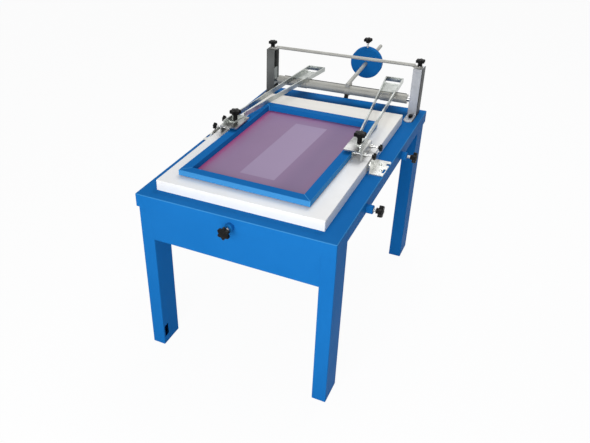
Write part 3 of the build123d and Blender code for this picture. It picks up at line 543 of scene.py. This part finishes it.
def coated_mesh():
    cloth = Finish("coated_mesh", IOR=1.45)
    spot = cloth.place(SCREEN_AT, SCREEN_TURN)
    across, along = cloth.along(X, spot), cloth.along(Y, spot)
    drift = cloth.noise(spot, 4.0, 4.0)
    body = cloth.blend(drift, MID_VIOLET, THIN_VIOLET)
    body = cloth.blend(cloth.ramp(across, THICK_FROM, THICK_TO), body, THICK_VIOLET)
    body = cloth.blend(pale_panel(cloth, across, along), body, PANEL_VIOLET)
    band = magenta_band(cloth, spot, across, along)
    cloth.feed("Base Color", cloth.blend(band, body, BAND_MAGENTA))
    cloth.feed("Roughness", 0.42 + 0.14 * drift)
    cloth.bump(weave(cloth, spot, "X") + weave(cloth, spot, "Y"), WEAVE_DEPTH, 0.4)
    return cloth.material


finishes["screen_fabric"] = coated_mesh()
print("finish:", finishes["screen_fabric"].name)

# %% [markdown]
# ## Finishes on the CAD parts
#
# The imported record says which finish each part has, and the parts with a tone of their own take
# that one instead. Only the material slots change: the CAD meshes aren't touched.

# %% Dress the CAD parts
slot_of = {part["node"]: part["material_slot"] for part in frame["record"]["subparts"]}
for node, item in frame["nodes"].items():
    for place in item.material_slots:
        place.material = own_finish.get(node, finishes[slot_of[node]])
print("dressed", len(slot_of), "parts")

# %% [markdown]
# ## Turned pieces
#
# Studs and knobs' necks are turned on a lathe. The same idea works here: a disc is extruded
# upwards ring by ring, and each ring is resized about the axis. Spinning a drawn profile would do
# too, but it leaves a pole at each end that has to be closed, and the disc is closed from the
# start. A real thread is a helix. At this size a run of close ridges looks the same, and has far
# fewer faces.

# %% Picking and placing
def start_clean():
    bpy.ops.object.select_all(action="DESELECT")


def pick(piece):
    """Makes a piece the only selected one, and the active one."""
    start_clean()
    piece.select_set(True)
    bpy.context.view_layer.objects.active = piece


def settle():
    """Puts the active piece's place, turn and size into its mesh."""
    bpy.ops.object.transform_apply(location=True, rotation=True, scale=True)


def stand(piece, origin, direction):
    """Turns a piece's +Z to a direction, and moves its origin to a place."""
    pick(piece)
    turn = Vector(direction).to_track_quat("Z", "Y").to_matrix().to_4x4()
    piece.matrix_world = Matrix.Translation(Vector(origin)) @ turn
    settle()


def twin(piece, name):
    """A copy with its own mesh."""
    pick(piece)
    bpy.ops.object.duplicate(linked=False)
    bpy.context.object.name = name
    return bpy.context.object


def dress(piece, body, slot_name, *nodes):
    """Gives a piece its finish, its body, and the CAD parts that it stands for."""
    piece.data.materials.clear()
    piece.data.materials.append(finishes[slot_name])
    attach(piece, body)
    if nodes:
        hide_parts(*nodes)


print("ready to place pieces")

# %% A small lathe
THREAD_PITCH, THREAD_ROOT = 0.0015, 0.90


def turned(name, rings, sides=32):
    """A turned piece along +Z. Rings are (height, radius) pairs from its lower to its upper end."""
    start_clean()
    bpy.ops.mesh.primitive_circle_add(vertices=sides, radius=rings[0][1], fill_type="NGON",
                                      location=(0, 0, rings[0][0]))
    settle()
    piece = bpy.context.object
    piece.name = name
    bpy.ops.object.mode_set(mode="EDIT")
    bpy.ops.mesh.select_all(action="SELECT")
    for (low, inner), (high, outer) in zip(rings, rings[1:]):
        bpy.ops.mesh.extrude_region_move(TRANSFORM_OT_translate={"value": (0, 0, high - low)})
        bpy.ops.transform.resize(value=(outer / inner, outer / inner, 1),
                                 center_override=(0, 0, high))
    bpy.ops.mesh.select_all(action="SELECT")
    bpy.ops.mesh.normals_make_consistent(inside=False)
    bpy.ops.object.mode_set(mode="OBJECT")
    return piece


def thread(low, high, radius):
    """Rings for a threaded length: a ridge and a root for each turn."""
    turns = max(1, int((high - low) / THREAD_PITCH))
    step = (high - low) / turns
    rings = [(low, radius * THREAD_ROOT)]
    for turn in range(turns):
        rings.append((low + (turn + 0.5) * step, radius))
        rings.append((low + (turn + 1) * step, radius * THREAD_ROOT))
    return rings


print("lathe ready: a thread's pitch is", THREAD_PITCH)

# %% Rounding and joining
def smooth(piece, angle):
    pick(piece)
    bpy.ops.object.shade_smooth_by_angle(angle=math.radians(angle))


def soften(piece, width, segments, angle):
    """Rounds the edges that are sharper than an angle, and shades the rest smooth."""
    pick(piece)
    bpy.ops.object.modifier_add(type="BEVEL")
    bevel = piece.modifiers[-1]
    bevel.width, bevel.segments, bevel.limit_method = width, segments, "ANGLE"
    bevel.angle_limit = math.radians(angle)
    bpy.ops.object.modifier_apply(modifier=bevel.name)
    smooth(piece, angle)


def unite(piece, other):
    """Joins another closed piece to this one, as one skin."""
    pick(piece)
    bpy.ops.object.modifier_add(type="BOOLEAN")
    union = piece.modifiers[-1]
    union.operation, union.solver, union.object = "UNION", "EXACT", other
    bpy.ops.object.modifier_apply(modifier=union.name)
    bpy.data.objects.remove(other)


print("ready to round and join")

# %% [markdown]
# ## Star knobs
#
# A star knob is moulded: six rounded fingers with hollows between them, a neck below, and a round
# cap that hides the metal insert. Six cylinders could be cut from a disc, but that leaves sharp
# horns, which no mould makes. Here the outline starts as a circle of 48 points. The points at the
# same place on each finger are selected together and drawn in towards the axis, then the outline
# is extruded. A turned neck and cap are united with it, and a bevel rounds every edge.

# %% A star's outline
FINGERS, POINTS = 6, 8
DRAWN_IN = {1: 0.965, 2: 0.86, 3: 0.775, 4: 0.74}


def select_points(piece, wanted):
    """Selects vertices by a test of their index and place, from edit mode, and returns to it."""
    bpy.ops.mesh.select_all(action="DESELECT")
    bpy.ops.object.mode_set(mode="OBJECT")
    for vertex in piece.data.vertices:
        vertex.select = wanted(vertex)
    bpy.ops.object.mode_set(mode="EDIT")


def star_outline(name, radius, height):
    """A flat star at a height: a disc whose points are drawn in between the fingers."""
    start_clean()
    bpy.ops.mesh.primitive_circle_add(vertices=POINTS * FINGERS, radius=radius, fill_type="NGON",
                                      location=(0, 0, height))
    settle()
    star = bpy.context.object
    star.name = name
    bpy.ops.object.mode_set(mode="EDIT")
    bpy.ops.mesh.select_mode(type="VERT")
    for step, factor in DRAWN_IN.items():
        pair = (step, (POINTS - step) % POINTS)
        select_points(star, lambda vertex: vertex.index % POINTS in pair)
        bpy.ops.transform.resize(value=(factor, factor, 1), center_override=(0, 0, height))
    bpy.ops.object.mode_set(mode="OBJECT")
    return star


print("a star has", FINGERS, "fingers")

# %% Model one star knob
# The wall and the shoulder are shares of the knob's height, and the cap and the rounding of its
# radius. A profile's rings are shares of a height and of a radius: the neck's, then the knob's
# height and the cap's radius.
WALL, SHOULDER, SHOULDER_DRAWN_IN = 0.72, 0.18, 0.84
CAP, MOULD_ROUNDING = 0.42, 0.045
NECK_PROFILE = ((0, 1.0), (0.55, 0.92), (1.0, 1.15))
CAP_PROFILE = ((0.8, 1.0), (0.96, 1.0), (1.0, 0.82))


def star_knob(name, radius, thick, neck_radius, neck):
    """A knob along +Z: its neck starts at 0 and its cap ends at neck + thick."""
    knob = star_outline(name, radius, neck)
    bpy.ops.object.mode_set(mode="EDIT")
    bpy.ops.mesh.select_all(action="SELECT")
    for share in (WALL, SHOULDER):
        bpy.ops.mesh.extrude_region_move(TRANSFORM_OT_translate={"value": (0, 0, thick * share)})
    bpy.ops.transform.resize(value=(SHOULDER_DRAWN_IN, SHOULDER_DRAWN_IN, 1),
                             center_override=(0, 0, neck))
    bpy.ops.mesh.select_all(action="SELECT")
    bpy.ops.mesh.normals_make_consistent(inside=False)
    bpy.ops.object.mode_set(mode="OBJECT")
    rings = [(neck * rise, neck_radius * width) for rise, width in NECK_PROFILE]
    rings += [(neck + thick * rise, radius * CAP * width) for rise, width in CAP_PROFILE]
    unite(knob, turned("core", rings))
    soften(knob, radius * MOULD_ROUNDING, 3, 28)
    return knob


# The knob's radius and height, and its neck's radius and height.
KNOBS = {"registration": (0.0235, 0.016, 0.011, 0.010), "height": (0.020, 0.014, 0.010, 0.014),
         "clamp": (0.024, 0.016, 0.0095, 0.026), "lock": (0.0205, 0.014, 0.009, 0.008),
         "pad": (0.014, 0.010, 0.007, 0.005)}
patterns = {kind: star_knob(f"{kind}_pattern", *size) for kind, size in KNOBS.items()}
print("knob patterns:", {kind: len(item.data.vertices) for kind, item in patterns.items()})

# %% [markdown]
# Each screw on the real machine is a plastic knob on a steel stud. The CAD part is one solid, so
# two pieces take its place: the knob at the outer end and the stud inwards of it. A part's extent
# along its own axis gives both their places. A stud starts with plain rings at its inner end, and
# its thread ends inside the knob. The three registration screws differ in their necks: a collar
# turns in the pushed part, and a plain neck reaches from it to the boss, where the thread starts.

# %% The studs' sizes
def collared(neck_end):
    """A registration screw's stud: its collar, its neck up to a height, and its thread."""
    plain = [(0, 0.007), (0.0036, 0.007), (0.0036, 0.004), (neck_end, 0.004)]
    return plain, 0.006, neck_end, 0.0255


# The plain rings, the thread's radius, where the thread starts above the inner end, and how far
# below the outer end it stops.
STUDS = {"front": collared(0.009), "near": collared(0.0202), "far": collared(0.0262),
         "height": ([(0, 0.0054), (0.012, 0.0054)], 0.006, 0.013, 0.027),
         "clamp": ([(0, 0.0044)], 0.005, 0.001, 0.041),
         "pad": ([(0, 0.0036)], 0.004, 0.001, 0.0145),
         "lock": ([(0, 0.0046)], 0.005, 0.001, 0.0215)}
print("stud threads, radius in mm:", {kind: 1000 * size[1] for kind, size in STUDS.items()})

# %% Fit a knob and its stud
STUD_CHAMFER = 0.0003


def foot_and_length(node, direction):
    """The point where a CAD part starts along its axis, and its length."""
    spans = [vertex.co.dot(direction) for vertex in frame["nodes"][node].data.vertices]
    low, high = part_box(node)
    middle = (low + high) / 2
    return middle + direction * (min(spans) - middle.dot(direction)), max(spans) - min(spans)


def fit_screw(node, body, kind, direction, stud_kind=None):
    """A knob and a stud in place of a CAD screw, whose axis points to the knob."""
    direction = Vector(direction).normalized()
    foot, length = foot_and_length(node, direction)
    radius, thick, neck_radius, neck = KNOBS[kind]
    knob = twin(patterns[kind], f"{node}_knob")
    stand(knob, foot + direction * (length - thick - neck), direction)
    dress(knob, body, "black_plastic", node)
    plain, thread_radius, start, stop = STUDS[stud_kind or kind]
    stud = turned(f"{node}_stud", plain + thread(start, length - stop, thread_radius))
    soften(stud, STUD_CHAMFER, 1, 50)
    stand(stud, foot, direction)
    dress(stud, body, "bright_steel")


print("ready to fit", len(KNOBS), "kinds of knob")

# %% Fit every screw
for place, direction in (("front", (0, -1, 0)), ("near", (1, 0, 0)), ("far", (1, 0, 0))):
    fit_screw(f"{place}_screw", f"{place}_screw", "registration", direction, place)
for side, outward in (("left", (-1, 0, 0)), ("right", (1, 0, 0))):
    fit_screw(f"{side}_height_screw", f"{side}_height_screw", "height", (0, 0, 1))
    fit_screw(f"{side}_clamp_knob", f"{side}_clamp_knob", "clamp", (0, 0, 1))
    for place in ("front", "rear"):
        fit_screw(f"{side}_{place}_pad_screw", f"{side}_{place}_pad_screw", "pad", outward)
fit_screw("weight_lock_screw", "weight_lock", "lock", joint_axis["weight_lock_spin"])
for item in patterns.values():
    bpy.data.objects.remove(item)

# %% [markdown]
# ## Weld beads
#
# Each apron is a folded sheet that is welded to its two legs. The legs have rounded corners, so
# the weld fills the groove beside each end of the apron, flush with its face. A bevelled curve
# would be as smooth as a wire. A turned piece shows the weld's puddles, because its rings can swell
# and shrink a little.

# %% Weld the aprons to the legs
BEAD, RIPPLE = 0.0030, 0.0042
BEAD_START, BEAD_STOP = 0.004, 0.0085


def weld_bead(name, x, y, low, high):
    count = round((high - low) / RIPPLE)
    rings = [(low, BEAD * 0.5)]
    for puddle in range(count):
        start = low + (high - low) * puddle / count
        rings += [(start + RIPPLE * 0.2, BEAD * 0.92), (start + RIPPLE * 0.6, BEAD)]
    bead = turned(name, rings + [(high, BEAD * 0.5)], 14)
    smooth(bead, 60)
    stand(bead, (x, y, 0), (0, 0, 1))
    dress(bead, "table", "blue_steel")
    return bead


beads = []
for end in ("front", "rear"):
    low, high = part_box(f"{end}_apron")
    y = low.y + BEAD if end == "front" else high.y - BEAD
    for side, x in (("left", low.x), ("right", high.x)):
        beads.append(weld_bead(f"{end}_{side}_weld", x, y,
                               low.z + BEAD_START, high.z - BEAD_STOP))
print("weld beads:", [bead.name for bead in beads])

# %% [markdown]
# ## The mesh
#
# The mesh is cloth pulled tight and glued under the frame, so it is flat and very thin, and needs
# no cloth simulation. A grid gives it even faces, and Solidify gives it a thickness of four tenths
# of a millimetre.

# %% Stretch the mesh
MESH_SIZE, MESH_THICKNESS = (0.496, 0.699), 0.0004

start_clean()
bpy.ops.mesh.primitive_grid_add(x_subdivisions=24, y_subdivisions=34, size=1,
                                location=(0, 0, 0))
mesh_cloth = bpy.context.object
mesh_cloth.name = "stretched_mesh"
bpy.ops.object.mode_set(mode="EDIT")
bpy.ops.mesh.select_all(action="SELECT")
bpy.ops.transform.resize(value=(*MESH_SIZE, 1), center_override=(0, 0, 0))
bpy.ops.object.mode_set(mode="OBJECT")
bpy.ops.object.modifier_add(type="SOLIDIFY")
solidify = mesh_cloth.modifiers[-1]
solidify.thickness, solidify.offset = MESH_THICKNESS, 0
bpy.ops.object.modifier_apply(modifier=solidify.name)
mesh_low, mesh_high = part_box("screen_mesh")
mesh_middle = Vector((SCREEN_AT.x, SCREEN_AT.y, (mesh_low.z + mesh_high.z) / 2))
mesh_cloth.matrix_world = (Matrix.Translation(mesh_middle)
                           @ Matrix.Rotation(SCREEN_TURN, 4, "Z"))
settle()
dress(mesh_cloth, "screen", "screen_fabric", "screen_mesh")
print("mesh area:", round(MESH_SIZE[0] * MESH_SIZE[1], 3), "square metres")
